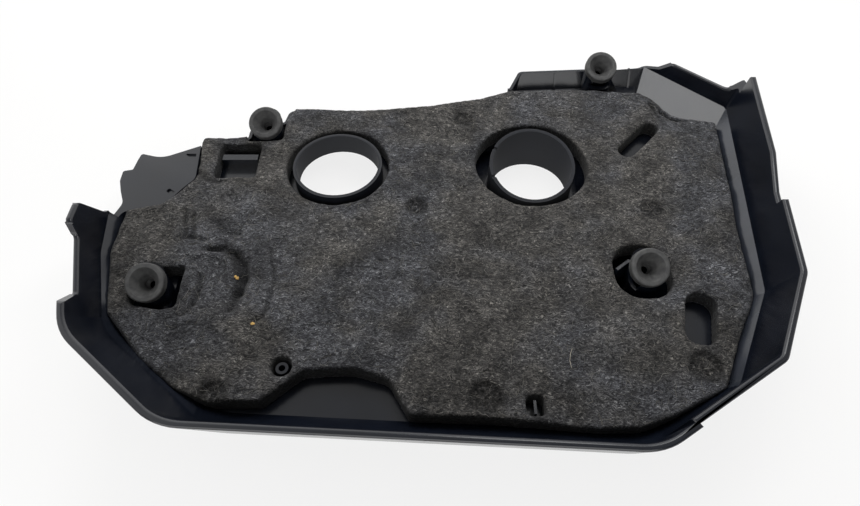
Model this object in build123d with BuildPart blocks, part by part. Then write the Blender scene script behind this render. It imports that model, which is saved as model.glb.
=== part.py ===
# Engine cover lying on its show face: moulded shell, felt insulation mat and four ball-stud grommets.
# Origin on the show panel, midway between the two round openings; +X along them, +Y to the back, +Z up.
import os
from math import cos, hypot, radians, sin, tan

from build123d import *

# Shell walls and levels, all in millimetres
wall = 3.0
hump_depth = 15.5
strip_rise = 17.5
rim_rise = 43.0
rim_land = 2.2
floor_under = hump_depth
floor_top = floor_under + wall
crease_level = floor_top + strip_rise
rim_level = crease_level + rim_rise
cut_margin = 12.0
far = 400.0

# Crease where the sloped strip meets the skirt, corner by corner, counterclockwise from above:
# x, y, corner radius, then for the edge that leaves it the width of its sloped strip and its outward lean
crease = [
    (-154.9, -247.4, 46.0, 18.0, 13.6),
    (138.6, -262.6, 42.0, 10.0, 6.8),
    (214.7, -215.6, 10.0, 14.0, 10.8),
    (257.3, -137.5, 14.0, 15.0, 7.9),
    (288.5, 77.9, 7.0, 0.0, 8.0),
    (220.8, 143.0, 5.0, 0.0, 1.0),
    (90.8, 135.4, 4.0, 0.0, 0.0),
    (79.4, 109.2, 4.0, 0.0, 0.0),
    (46.0, 96.0, 40.0, 0.0, 0.0),
    (-10.0, 85.2, 60.0, 0.0, 0.0),
    (-84.0, 78.2, 60.0, 0.0, 0.0),
    (-143.0, 83.0, 5.0, 0.0, 0.0),
    (-146.5, 65.0, 5.0, 0.0, 0.0),
    (-178.0, 66.0, 13.0, 0.0, 0.0),
    (-178.0, 43.0, 6.0, 0.0, 0.0),
    (-221.0, 37.5, 5.0, 0.0, 0.0),
    (-215.7, -16.5, 10.0, 0.0, 0.0),
    (-237.0, -45.0, 12.0, 0.0, 0.0),
    (-281.0, -53.0, 8.0, 13.0, 10.0),
    (-273.8, -99.6, 40.0, 13.0, 10.1),
    (-250.6, -170.5, 48.0, 12.0, 20.9),
]

# Height of the rim along the left wall, the right wall and the back: position along the side, height, rounding
left_rim = [
    (-174.0, rim_level, 0.0),
    (-158.0, 64.0, 6.0),
    (-105.0, 64.0, 6.0),
    (-98.0, 75.0, 5.0),
    (-77.0, 72.0, 7.0),
    (-59.0, 37.5, 9.0),
    (40.0, 37.5, 0.0),
]
right_rim = [(-79.0, 72.0, 3.0), (-66.0, 72.0, 6.0), (-28.0, rim_level, 0.0)]
back_rim = [
    (186.0, 31.0, 0.0),
    (216.0, 32.5, 8.0),
    (233.0, 41.0, 5.0),
    (243.0, 52.0, 7.0),
    (287.0, 53.0, 9.0),
    (296.0, 67.0, 6.0),
    (310.0, 69.0, 0.0),
]
back_edge_level = 26.0
flange_level = 33.5
# Where each of these stretches starts: x on the left and right, y on the back and the flange
left_wall_start = -236.0
right_wall_start = 240.0
back_wall_start = 72.0
back_edge_start = 24.0
flange_start = (75.0, 90.0)

# Stretch of the wall after the foremost corner that stands further out, up to a step
joggle_edge = crease.index(min(crease, key=lambda corner: corner[1]))
joggle = 2.6
joggle_end = (160.5, -260.6)
joggle_angle = 32.1

# Ramp behind the felt at the back right corner, along the edge after the rightmost corner
ramp_edge = crease.index(max(crease))
ramp_run = 34.0
ramp_end = (211.5, 107.0)
ramp_end_angle = 75.5
ramp_end_lean = 12.0

# Sloped foot along the inside of the low flange, on the edge after the ramp
flange_run = 9.0

# Ledge plate at the back left corner, outer side first, closed inside the tray wall: x, y, corner radius
ledge_outline = [
    (-281.5, -58.0, 2.0),
    (-275.0, -42.0, 9.0),
    (-280.5, -29.0, 6.0),
    (-284.5, -17.0, 3.0),
    (-284.5, -5.6, 2.0),
    (-275.7, -4.4, 1.5),
    (-272.5, 15.0, 2.0),
    (-252.3, 9.5, 22.0),
    (-217.0, 27.0, 1.0),
    (-205.0, -10.0, 1.0),
    (-240.0, -62.0, 1.0),
]
ledge_level = 35.0
ledge_lip = 2.5
lip_width = 2.0
# Fold across the ledge: in front of it the plate slopes down
fold_start = (-264.7, 0.4)
fold_end = (-222.5, -26.9)
fold_slope = 6.0
ledge_corner = (-212.0, -57.0)
# Shallow pockets pressed into the ledge
ledge_pockets = [
    [(-239.0, -30.6, 1.5), (-224.0, -41.6, 1.5), (-221.6, -38.4, 1.5), (-236.6, -27.4, 1.5)],
    [(-233.0, 15.0, 1.0), (-219.0, 5.0, 1.0), (-219.5, 15.0, 1.0)],
]
pocket_depth = 1.8

# Raised show panel that the cover rests on: x, y, corner radius
hump = [
    (-150.0, -186.0, 20.0),
    (132.0, -192.0, 24.0),
    (172.0, -160.0, 18.0),
    (196.0, -133.0, 18.0),
    (196.0, -92.0, 18.0),
    (146.0, -66.0, 18.0),
    (146.0, 62.0, 22.0),
    (-36.0, 62.0, 22.0),
    (-36.0, -54.0, 20.0),
    (-150.0, -74.0, 20.0),
    (-215.5, -104.0, 8.0),
    (-215.5, -156.0, 8.0),
]
hump_lean = 8.0

# Round openings and their collars
opening_offset = 89.0
left_bore = 37.5
right_bore = 36.0
collar_level = 36.0
right_collar_slope = 11.7
collar_notches = [152.0, 199.0]
notch_width = 3.2
notch_depth = 2.0

# Felt mat: thickness and outline, clipped by the tray where it runs past it: x, y, corner radius
felt_thickness = 14.5
felt_outline = [
    (-163.8, -227.3, 20.0),
    (-124.0, -227.3, 6.0),
    (-97.0, -203.8, 12.0),
    (-62.0, -201.8, 30.0),
    (-35.0, -209.8, 12.0),
    (-19.0, -237.5, 6.0),
    (42.0, -239.4, 30.0),
    (110.0, -247.2, 30.0),
    (140.0, -246.0, 20.0),
    (166.0, -237.5, 20.0),
    (207.0, -217.5, 8.0),
    (248.5, -138.0, 14.0),
    (276.0, 62.0, 3.0),
    (259.6, 65.5, 6.0),
    (209.0, 106.0, 8.0),
    (150.0, 111.0, 20.0),
    (76.0, 109.0, 0.0),
    (60.0, 120.0, 0.0),
    (-130.0, 110.0, 0.0),
    (-146.0, 61.5, 3.0),
    (-176.0, 42.6, 3.0),
    (-190.0, 60.0, 0.0),
    (-240.0, 60.0, 0.0),
    (-240.0, -20.0, 0.0),
    (-300.0, -40.0, 0.0),
    (-268.5, -52.0, 0.0),
    (-270.6, -95.0, 30.0),
    (-254.0, -155.0, 14.0),
    (-219.0, -193.3, 14.0),
    (-187.0, -217.6, 14.0),
]
# Holes round the collars, cut a little behind them: radius, shift to the back
felt_left_hole = (46.4, 1.6)
felt_right_hole = (51.0, 5.0)
felt_tower_hole = [
    (-242.0, -146.5, 10.0),
    (-226.0, -149.5, 10.0),
    (-214.0, -152.0, 4.0),
    (-203.0, -149.0, 4.0),
    (-203.0, -111.5, 3.0),
    (-242.0, -113.0, 12.0),
]
felt_windows = [
    ((-182.5, 9.5), (37.0, 43.0), 4.0, 0.0),
    ((-162.6, 56.0), (34.4, 40.0), 5.0, 0.0),
    ((194.4, 36.8), (55.4, 15.0), 7.4, 47.1),
    ((203.4, -159.8), (45.0, 23.0), 10.5, 76.0),
    ((167.0, -116.0), (45.0, 51.0), 20.0, 0.0),
    ((-112.5, -200.3), (14.4, 14.4), 7.1, 0.0),
    ((69.3, -230.1), (12.0, 14.0), 3.0, 0.0),
]

# Grommets: node name, centre of the mouth, direction in which its tower slot opens, level the tower stands on
stud_tilt = 28.0
grommets = [
    ("grommet_front_left", (-226.2, -134.8, 44.0), 0.0, floor_top),
    ("grommet_rear_left", (-161.5, 48.4, 44.0), 180.0, floor_top),
    ("grommet_rear_right", (169.4, 123.2, 52.0), 270.0, floor_top),
    ("grommet_front_right", (169.9, -120.5, 44.0), 210.0, wall),
]
ring_radius = 15.6
ring_height = 7.5
mouth_radius = 11.8
bowl_radius = 6.6
bowl_depth = 6.0
bowl_rounding = 2.5
funnel_depth = 11.0
throat_radius = 4.25
throat_length = 2.5
ball_radius = 5.25
ball_length = 2.5
vent_radius = 3.0
neck_radius = 8.6
foot_radius = 10.6
foot_height = 4.0
tail_radius = 7.0
grommet_length = 18.8
grommet_edge = 1.6
slot_clearance = 0.2
tower_width = 28.0
tower_corner = 11.0
tower_plate = 3.0

# Small upright parts moulded on the floor
pin_place = (-112.5, -200.3)
pin_radius = 4.7
pin_bore = 2.5
pin_top = 29.5
# Ribs and blocks: x, y, length, thickness, turn, level they stand on, level of the top
floor_ribs = [
    (69.3, -230.1, 10.0, 2.0, 90.0, floor_top, 29.5),
    (-183.0, 17.5, 33.0, 7.0, 0.0, floor_top, 28.0),
    (151.8, -111.2, 15.0, 2.4, 37.7, wall, 34.5),
]
gusset_thickness = 2.0
gusset_reach = 10.5
gusset_crest = 1.5
gusset_height = 14.5
gussets = [((127.0, 137.5), 270.0), ((206.0, 142.1), 270.0), ((182.5, 127.0), 0.0)]


def offset_corners(corners, shifts):
    """Corners with each edge moved outward by its own shift, and the turn at each corner."""
    count = len(corners)
    moved = []
    for i in range(count):
        x, y = corners[i][:2]
        before = corners[i - 1]
        after = corners[(i + 1) % count]
        ax, ay = x - before[0], y - before[1]
        bx, by = after[0] - x, after[1] - y
        a_length, b_length = hypot(ax, ay), hypot(bx, by)
        turn = (ax * by - ay * bx) / (a_length * b_length)
        a_shift, b_shift = shifts[i - 1], shifts[i]
        along = (ax / a_length * b_shift - bx / b_length * a_shift) / turn
        across = (ay / a_length * b_shift - by / b_length * a_shift) / turn
        moved.append((x + along, y + across, turn))
    return moved


def section(corners, level, shifts=None, grow=0.0):
    """Rounded outline at one level; grow widens convex corners and tightens hollow ones."""
    moved = offset_corners(corners, shifts or [0.0] * len(corners))
    radii = []
    for place, corner in zip(moved, corners):
        radius = corner[2] + grow if place[2] > 0 else corner[2] - grow
        radii.append(max(radius, 0.0))
    with BuildSketch(Plane.XY.offset(level)) as outline:
        with BuildLine():
            FilletPolyline(*[place[:2] for place in moved], radius=radii, close=True)
        make_face()
    return outline.sketch


def edge_plane(edge):
    """Upright plane across one edge of the crease, with x pointing outward and y up."""
    start, stop = crease[edge], crease[edge + 1]
    along_x, along_y = stop[0] - start[0], stop[1] - start[1]
    return Plane(origin=(start[0], start[1], 0), x_dir=(along_y, -along_x, 0), z_dir=(-along_x, -along_y, 0))


def rim_cut(plane, rim, depth):
    """Solid above a rim profile, drawn on a side plane and running along its normal."""
    top = rim_level + cut_margin
    points = [(rim[0][0], top)] + [point[:2] for point in rim] + [(rim[-1][0], top)]
    radii = [0.0] + [point[2] for point in rim] + [0.0]
    with BuildPart() as cut:
        with BuildSketch(plane):
            with BuildLine():
                FilletPolyline(*points, radius=radii, close=True)
            make_face()
        extrude(amount=depth)
    return cut.part


def stud_plane(mouth, below=0.0):
    """Plane across a stud axis, set below the mouth of its grommet."""
    tilt = radians(stud_tilt)
    return Plane(origin=mouth, x_dir=(1, 0, 0), z_dir=(0, -sin(tilt), cos(tilt))).offset(-below)


def tower_centre(mouth):
    """Plan position of the middle of the tower plate under a grommet."""
    middle = ring_height + tower_plate / 2
    return (mouth[0], mouth[1] + middle * sin(radians(stud_tilt)))


def grommet_tower(mouth, slot_angle, stand):
    """Hollow tower with a tilted plate, slotted from one side for the neck of a grommet."""
    plate_top = stud_plane(mouth, ring_height)
    plate_under = stud_plane(mouth, ring_height + tower_plate)
    inside = tower_width - 2 * wall
    reach = tower_width
    with BuildPart() as hollow:
        with BuildSketch(Plane.XY.offset(stand)):
            with Locations(tower_centre(mouth)):
                RectangleRounded(inside, inside, tower_corner - wall)
        extrude(amount=mouth[2])
        split(bisect_by=plate_under, keep=Keep.BOTTOM)
    with BuildPart() as tower:
        with BuildSketch(Plane.XY.offset(stand - wall / 2)):
            with Locations(tower_centre(mouth)):
                RectangleRounded(tower_width, tower_width, tower_corner)
        extrude(amount=mouth[2])
        split(bisect_by=plate_top, keep=Keep.BOTTOM)
        add(hollow.part, mode=Mode.SUBTRACT)
        with BuildSketch(plate_top):
            slot = neck_radius + slot_clearance
            Circle(slot)
            with Locations(Rotation(0, 0, slot_angle) * Location((reach / 2, 0))):
                Rectangle(reach, 2 * slot)
        extrude(amount=-tower_plate, mode=Mode.SUBTRACT)
        with BuildSketch(plate_under):
            foot = foot_radius + slot_clearance
            Circle(foot)
            with Locations(Rotation(0, 0, slot_angle) * Location((reach / 2, 0))):
                Rectangle(reach, 2 * foot)
        extrude(amount=-foot_height - slot_clearance, mode=Mode.SUBTRACT)
    return tower.part


strips = [corner[3] for corner in crease]
leans = [corner[4] for corner in crease]
steps = [wall * hypot(lean, rim_rise) / rim_rise for lean in leans]
floor_inner = [-strip for strip in strips]
floor_outer = [(wall * hypot(strip, strip_rise) - wall * strip) / strip_rise - strip for strip in strips]
rim_outer = [lean + step for lean, step in zip(leans, steps)]
lands = [rim_land if lean > rim_land else 0.0 for lean in leans]
above_rim = [(lean - land) * (1 + cut_margin / rim_rise) for lean, land in zip(leans, lands)]

# Space inside the tray
with BuildPart() as cavity:
    floor = section(crease, floor_top, floor_inner)
    bend = section(crease, crease_level)
    loft([floor, bend, section(crease, rim_level + cut_margin, above_rim)], ruled=True)

# Front right wall leaning further out, inside and outside, cut off at the step
joggled_outer = list(rim_outer)
joggled_outer[joggle_edge] += joggle
joggled_above = list(above_rim)
joggled_above[joggle_edge] += joggle * (1 + cut_margin / rim_rise)
step_angle = radians(joggle_angle)
joggle_plane = Plane(
    origin=(joggle_end[0], joggle_end[1], 0),
    x_dir=(sin(step_angle), -cos(step_angle), 0),
    z_dir=(cos(step_angle), sin(step_angle), 0),
)
with BuildPart() as joggle_outside:
    bend = section(crease, crease_level, steps, wall)
    loft([bend, section(crease, rim_level, joggled_outer, wall)], ruled=True)
    split(bisect_by=joggle_plane, keep=Keep.BOTTOM)
with BuildPart() as joggle_inside:
    bend = section(crease, crease_level)
    loft([bend, section(crease, rim_level + cut_margin, joggled_above)], ruled=True)
    split(bisect_by=joggle_plane.offset(-wall), keep=Keep.BOTTOM)

# Ramp inside the tray, and the same wedge one wall lower that hollows it from the show side
ramp_plane = edge_plane(ramp_edge)
ramp_slope = strip_rise / ramp_run
ramp_drop = wall * hypot(1, ramp_slope)
end_angle = radians(ramp_end_angle)
ramp_end_plane = Plane(
    origin=(ramp_end[0], ramp_end[1], crease_level),
    x_dir=(cos(end_angle), sin(end_angle), 0),
    z_dir=(sin(end_angle), -cos(end_angle), -tan(radians(ramp_end_lean))),
)
with BuildPart() as ramp:
    with BuildSketch(ramp_plane):
        with BuildLine():
            Polyline(
                (-ramp_run, floor_top),
                (cut_margin, floor_top),
                (cut_margin, crease_level + cut_margin * ramp_slope),
                close=True,
            )
        make_face()
    extrude(amount=far, both=True)
    add(cavity.part, mode=Mode.INTERSECT)
    split(bisect_by=ramp_end_plane, keep=Keep.TOP)
with BuildPart() as ramp_hollow:
    with BuildSketch(ramp_plane):
        with BuildLine():
            Polyline(
                (-ramp_run, floor_top - ramp_drop),
                (-ramp_run, floor_under - wall),
                (cut_margin, floor_under - wall),
                (cut_margin, crease_level + cut_margin * ramp_slope - ramp_drop),
                close=True,
            )
        make_face()
    extrude(amount=far, both=True)
    split(bisect_by=ramp_end_plane.offset(wall), keep=Keep.TOP)

# Sloped foot of the flange
with BuildPart() as flange_foot:
    with BuildSketch(edge_plane(ramp_edge + 1)):
        with BuildLine():
            Polyline((-flange_run, floor_top), (0, flange_level), (wall, flange_level), (wall, floor_top), close=True)
        make_face()
    extrude(amount=far, both=True)
    add(cavity.part, mode=Mode.INTERSECT)

# Space over the ledge: level behind the fold, sloping down in front of it
fold_x, fold_y = fold_end[0] - fold_start[0], fold_end[1] - fold_start[1]
fold_fall = tan(radians(fold_slope)) / hypot(fold_x, fold_y)
fold_plane = Plane(
    origin=(*fold_start, ledge_level),
    x_dir=(fold_x, fold_y, 0),
    z_dir=(fold_y * fold_fall, -fold_x * fold_fall, 1),
)
with BuildPart() as over_ledge:
    with BuildSketch(Plane.XY.offset(ledge_level), fold_plane):
        Rectangle(2 * far, 2 * far)
    extrude(amount=far)

# Ledge plate with its lip and pockets, outside the tray
plate_height = ledge_level + ledge_lip - floor_top
with BuildPart() as lip_inside:
    inner_edge = section(ledge_outline, floor_top, [-lip_width] * len(ledge_outline))
    add(extrude(inner_edge, amount=2 * plate_height, mode=Mode.PRIVATE))
    add(over_ledge.part, mode=Mode.INTERSECT)
with BuildPart() as pressed:
    for corners in ledge_pockets:
        add(extrude(section(corners, floor_top), amount=2 * plate_height, mode=Mode.PRIVATE))
    add(Pos(0, 0, -pocket_depth) * over_ledge.part, mode=Mode.INTERSECT)
with BuildPart() as ledge:
    add(extrude(section(ledge_outline, floor_top), amount=plate_height, mode=Mode.PRIVATE))
    add(Pos(0, 0, -wall) * over_ledge.part, mode=Mode.INTERSECT)
    add(lip_inside.part, mode=Mode.SUBTRACT)
    add(pressed.part, mode=Mode.SUBTRACT)
    add(cavity.part, mode=Mode.SUBTRACT)
with BuildPart() as ledge_clearance:
    with BuildSketch():
        with Locations(ledge_corner):
            Rectangle(far, far, align=(Align.MAX, Align.MIN))
    extrude(amount=far)
    add(over_ledge.part, mode=Mode.INTERSECT)

# The moulded shell
with BuildPart() as cover_shell:
    floor = section(crease, floor_under, floor_outer, wall)
    bend = section(crease, crease_level, steps, wall)
    loft([floor, bend, section(crease, rim_level, rim_outer, wall)], ruled=True)
    add(joggle_outside.part)
    add(cavity.part, mode=Mode.SUBTRACT)
    add(joggle_inside.part, mode=Mode.SUBTRACT)

    # Rim heights
    add(rim_cut(Plane.YZ.offset(-far), left_rim, far + left_wall_start), mode=Mode.SUBTRACT)
    add(rim_cut(Plane.YZ.offset(right_wall_start), right_rim, far), mode=Mode.SUBTRACT)
    add(rim_cut(Plane.XZ.offset(-far), back_rim, far - back_wall_start), mode=Mode.SUBTRACT)
    with BuildSketch(Plane.XY.offset(back_edge_level)):
        with Locations((flange_start[0], back_edge_start)):
            Rectangle(far, far, align=(Align.MAX, Align.MIN))
    extrude(amount=far, mode=Mode.SUBTRACT)
    with BuildSketch(Plane.XY.offset(flange_level)):
        with Locations(flange_start):
            Rectangle(back_rim[1][0] - flange_start[0], far, align=(Align.MIN, Align.MIN))
    extrude(amount=far, mode=Mode.SUBTRACT)
    add(ledge_clearance.part, mode=Mode.SUBTRACT)

    # Flange foot, ramp and ledge
    add(flange_foot.part)
    add(ramp.part)
    add(ramp_hollow.part, mode=Mode.SUBTRACT)
    add(ledge.part)

    # Raised show panel, hollow from inside
    hump_sides = [-hump_lean] * len(hump)
    pocket_top = [-wall] * len(hump)
    pocket_floor = [-hump_lean - wall] * len(hump)
    loft([section(hump, floor_under + wall / 2), section(hump, 0.0, hump_sides)], ruled=True)
    loft(
        [section(hump, floor_top, pocket_top), section(hump, wall, pocket_floor)],
        ruled=True,
        mode=Mode.SUBTRACT,
    )

    # Collars round the openings
    with BuildSketch(Plane.XY.offset(floor_under)):
        with Locations((-opening_offset, 0)):
            Circle(left_bore + wall)
    extrude(amount=collar_level - floor_under)
    with BuildSketch(Plane.XY):
        with Locations((opening_offset, 0)):
            Circle(right_bore + wall)
    extrude(amount=collar_level + cut_margin)
    right_rim_plane = Plane(
        origin=(opening_offset, 0, collar_level),
        x_dir=(1, 0, 0),
        z_dir=(0, -tan(radians(right_collar_slope)), 1),
    )
    with BuildSketch(right_rim_plane):
        Circle(right_bore + 4 * wall)
    extrude(amount=far, mode=Mode.SUBTRACT)
    with BuildSketch(right_rim_plane):
        for angle in collar_notches:
            with Locations(Rotation(0, 0, angle) * Location((right_bore + wall / 2, 0))):
                Rectangle(2 * wall, notch_width)
    extrude(amount=-notch_depth, mode=Mode.SUBTRACT)
    with BuildSketch(Plane.XY):
        with Locations((-opening_offset, 0)):
            Circle(left_bore)
        with Locations((opening_offset, 0)):
            Circle(right_bore)
    extrude(amount=far, mode=Mode.SUBTRACT)

    # Grommet towers
    for name, mouth, slot_angle, stand in grommets:
        add(grommet_tower(mouth, slot_angle, stand))

    # Pin, ribs and gussets
    with BuildSketch(Plane.XY.offset(floor_top - wall / 2)):
        with Locations(pin_place):
            Circle(pin_radius)
            Circle(pin_bore, mode=Mode.SUBTRACT)
    extrude(amount=pin_top - floor_top + wall / 2)
    for x, y, length, thickness, turn, stand, top in floor_ribs:
        with BuildSketch(Plane.XY.offset(stand - wall / 2)):
            with Locations(Location((x, y, 0), (0, 0, turn))):
                Rectangle(length, thickness)
        extrude(amount=top - stand + wall / 2)
    for place, angle in gussets:
        turn = radians(angle)
        with BuildSketch(
            Plane(origin=(*place, floor_top), x_dir=(cos(turn), sin(turn), 0), z_dir=(sin(turn), -cos(turn), 0))
        ):
            with BuildLine():
                Polyline(
                    (-wall, -wall / 2),
                    (gusset_reach, -wall / 2),
                    (gusset_reach, 0),
                    (gusset_crest, gusset_height),
                    (-wall, gusset_height),
                    close=True,
                )
            make_face()
        extrude(amount=gusset_thickness / 2, both=True)

# Felt mat on the tray floor
with BuildPart() as insulation_felt:
    add(extrude(section(felt_outline, floor_top), amount=felt_thickness, mode=Mode.PRIVATE))
    add(cavity.part, mode=Mode.INTERSECT)
    add(ramp.part, mode=Mode.SUBTRACT)
    with BuildSketch(Plane.XY.offset(floor_top)):
        with Locations((-opening_offset, felt_left_hole[1])):
            Circle(felt_left_hole[0])
        with Locations((opening_offset, felt_right_hole[1])):
            Circle(felt_right_hole[0])
        for place, size, corner, turn in felt_windows:
            with Locations(Location((place[0], place[1], 0), (0, 0, turn))):
                RectangleRounded(size[0], size[1], corner)
        add(section(felt_tower_hole, 0.0))
    extrude(amount=felt_thickness, mode=Mode.SUBTRACT)

# Rubber grommets, each turned about its tilted stud axis
plate_under = ring_height + tower_plate
grommet_profile = [
    (mouth_radius, 0.0, grommet_edge / 2),
    (ring_radius, 0.0, grommet_edge),
    (ring_radius, -ring_height, grommet_edge / 2),
    (neck_radius, -ring_height, 0.0),
    (neck_radius, -plate_under, 0.0),
    (foot_radius, -plate_under, grommet_edge / 2),
    (foot_radius, -plate_under - foot_height, grommet_edge),
    (tail_radius, -plate_under - foot_height, 0.0),
    (tail_radius, -grommet_length, grommet_edge / 2),
    (vent_radius, -grommet_length, 0.0),
    (vent_radius, -funnel_depth - throat_length - ball_length - ball_radius + vent_radius, 0.0),
    (ball_radius, -funnel_depth - throat_length - ball_length, 0.0),
    (ball_radius, -funnel_depth - throat_length - ball_radius + throat_radius, 0.0),
    (throat_radius, -funnel_depth - throat_length, 0.0),
    (throat_radius, -funnel_depth, 0.0),
    (bowl_radius, -bowl_depth, bowl_rounding),
]
seats = []
for name, mouth, slot_angle, stand in grommets:
    across = stud_plane(mouth)
    with BuildPart() as grommet:
        with BuildSketch(Plane(origin=mouth, x_dir=across.x_dir, z_dir=-across.y_dir)):
            with BuildLine():
                FilletPolyline(
                    *[point[:2] for point in grommet_profile],
                    radius=[point[2] for point in grommet_profile],
                    close=True,
                )
            make_face()
        revolve(axis=Axis(mouth, across.z_dir))
    seats.append((name, grommet.part))

os.makedirs("parts", exist_ok=True)
cover_shell.part.label = "cover_shell"
export_step(cover_shell.part, "parts/cover_shell.step")
insulation_felt.part.label = "insulation_felt"
export_step(insulation_felt.part, "parts/insulation_felt.step")
for name, part in seats:
    part.label = name
    export_step(part, f"parts/{name}.step")
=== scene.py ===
# Looks of an engine cover that lies on its show face:
# black moulded shell, charcoal needled felt and rubber grommets.
from math import cos, exp, hypot, pi, radians, sin

import bmesh
import bpy
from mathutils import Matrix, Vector, kdtree, noise
from mathutils.bvhtree import BVHTree
from mathutils.geometry import delaunay_2d_cdt


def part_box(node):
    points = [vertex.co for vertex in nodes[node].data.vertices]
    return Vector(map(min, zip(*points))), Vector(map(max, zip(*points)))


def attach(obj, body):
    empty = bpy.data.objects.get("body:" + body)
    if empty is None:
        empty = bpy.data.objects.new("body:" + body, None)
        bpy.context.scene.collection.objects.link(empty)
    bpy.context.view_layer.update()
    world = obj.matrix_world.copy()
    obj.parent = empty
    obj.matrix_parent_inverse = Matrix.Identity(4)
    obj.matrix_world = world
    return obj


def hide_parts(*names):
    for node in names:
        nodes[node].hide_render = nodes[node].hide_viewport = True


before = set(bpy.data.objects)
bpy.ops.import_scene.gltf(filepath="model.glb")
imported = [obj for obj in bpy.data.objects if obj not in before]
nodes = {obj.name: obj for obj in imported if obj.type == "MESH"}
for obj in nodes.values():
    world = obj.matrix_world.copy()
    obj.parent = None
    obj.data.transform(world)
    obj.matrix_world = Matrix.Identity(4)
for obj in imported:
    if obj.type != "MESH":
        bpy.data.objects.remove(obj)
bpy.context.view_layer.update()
MM = 0.001

# Camera, solved from the photograph, in metres and degrees
CAMERA_PLACE = (-0.0045, -0.3996, 0.440)
CAMERA_DOWN = 53.5
FOCAL_PIXELS = 615.0
IMAGE_WIDTH = 860.0
SENSOR = 36.0

# Shell, in millimetres: rounding of its edges and of its rim, lowest level of the rim, axes of the openings,
# reach of their collars and distances between which a collar turns from dull to satin
EDGE_ROUND = 0.7
RIM_ROUND = 2.2
RIM_LOW = 48.0
OPENINGS = (-89.0, 89.0)
COLLAR_REACH = 46.0
COLLAR_DULL = (38.0, 42.0)
# Least bend in degrees of an edge that is rounded and of the rim's edges,
# and least upward lean of the rim's land
EDGE_BEND = 24.0
RIM_BEND = 38.0
LAND_UP = 0.8
# Sloped strips beside the felt, painted a lighter grey as if lit: levels, furthest y, where the right and
# left ones start, range of their upward lean, and how much of that painted light the left one gets
STRIP_LOW = 18.0
STRIP_HIGH = 40.0
STRIP_BACK = 105.0
STRIP_RIGHT = 195.0
STRIP_LEFT = -195.0
STRIP_UP = (0.5, 0.8)
LEFT_LIGHT = 0.3

# Lamps, in metres and watts: name, place, point they face, width, height, power, lights dull and glossy faces
LAMPS = [
    ("overhead", (0.18, 0.20, 0.58), (0.2, 0.05, 0.03), 0.3, 0.3, 1.1, True, True),
    ("back_window", (-0.4, 0.9, 0.75), (0.1, 0.0, 0.03), 0.5, 0.5, 6.8, True, False),
    ("right_window", (0.55, 0.5, 0.8), (0.18, 0.03, 0.03), 0.4, 0.4, 2.0, True, False),
    ("front_window", (-0.15, -1.1, 0.55), (0.1, 0.13, 0.03), 1.9, 0.5, 6.8, True, True),
    ("rim_glint", (0.0, -0.8, 1.0), (0.0, -0.15, 0.06), 1.7, 0.2, 8.0, False, True),
]

# Table: half its width in metres, how far it lies under the cover in millimetres, and share of its own glow
TABLE_REACH = 6.0
TABLE_DROP = 0.3
TABLE_GLOW = 0.8

# Directions in which the room is brightest, low behind the cover, and darkest, high above it
ROOM_BRIGHT = Vector((-0.32, 0.9, 0.3)).normalized()
ROOM_DARK = Vector((0.12, 0.45, 0.88)).normalized()

# Felt mat, in millimetres: mesh pitch, level of its face, rounding of its edges, height of its waves
# and clumps, size across of waves, clumps and uneven edges, and share by which the rounding varies
FELT_PITCH = 1.3
FELT_TOP = 33.0
FELT_EDGE = 2.6
FELT_WAVE = 1.9
FELT_CLUMP = 0.5
WAVE_SIZE = 42.0
CLUMP_SIZE = 7.0
EDGE_SIZE = 14.0
EDGE_UNEVEN = 0.35
# Fuzz of its borders: swing, inward shift and size across
FUZZ = 0.5
FUZZ_IN = 0.35
FUZZ_SIZE = 3.0
# Painted shade on the felt, 0 to 1 of darkening: in the hollows of clumps and waves, in a weld, its grain and
# its ring, per millimetre of a fold's depth, in a slit, and where it is steeper than a free share, up to a
# limit
CLUMP_SHADE = 0.12
WAVE_SHADE = 0.05
WELD_SHADE = 0.62
WELD_GRAIN_SHADE = 1.5
RING_SHADE = 0.45
FOLD_SHADE = 0.24
SLIT_SHADE = 0.9
STEEP_SHADE = 1.1
STEEP_FREE = 0.04
DARKEST = 0.9

# Reading the CAD felt: step along its outline and slack of its level in millimetres, least upward lean
# of a flat face, share of the thickness that counts as underside, depth in millimetres under it from
# which it is probed, and join distance in metres
OUTLINE_STEP = 0.8
LEVEL_SLACK = 0.05
FLAT_UP = 0.9
UNDER_SHARE = 0.05
PROBE_BELOW = 5.0
JOIN = 1e-7

# Right border of the felt, spread over the sloped strip of the shell, in millimetres:
# amount, start in x and middle in y, reach along y, and run in x over which it grows
SPREAD = 3.0
SPREAD_PLACE = (226.0, -146.0)
SPREAD_REACH = 26.0
SPREAD_RUN = 16.0

# Places where the edge of the felt is rolled off more softly: x, y, radius, rounding
SOFT_EDGES = [
    (-262.0, -110.0, 60.0, 6.0),
    (-225.0, -185.0, 40.0, 5.0),
    (238.0, 82.0, 34.0, 12.0),
    (-200.0, 12.0, 16.0, 4.5),
]

# Places where the felt stands higher or is pressed lower: x, y, radius, rise
SWELLS = [
    (-244.0, -47.0, 26.0, 2.2),
    (-222.0, -18.0, 24.0, 3.0),
    (-214.0, 28.0, 22.0, 3.0),
    (-192.0, -125.0, 24.0, 1.6),
    (-120.0, -160.0, 60.0, 1.0),
    (30.0, -160.0, 80.0, 0.8),
    (235.0, 76.0, 24.0, -4.0),
    (-170.0, -85.0, 20.0, -1.2),
]

# Weld points pressed into the felt, each a flat rough disc, in millimetres:
# softness of its border, size and depth of its grain, then x, y, radius, depth
WELD_EDGE = 1.1
WELD_GRAIN = 2.1
WELD_ROUGH = 1.4
WELDS = [
    (-16.1, -46.3, 8.5, 3.0),
    (35.5, -224.1, 11.5, 2.6),
    (188.0, -50.5, 8.5, 2.4),
    (196.0, -200.5, 11.5, 2.2),
    (28.9, 65.2, 8.0, 1.0),
    (-158.0, -222.0, 9.0, 2.4),
]
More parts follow.
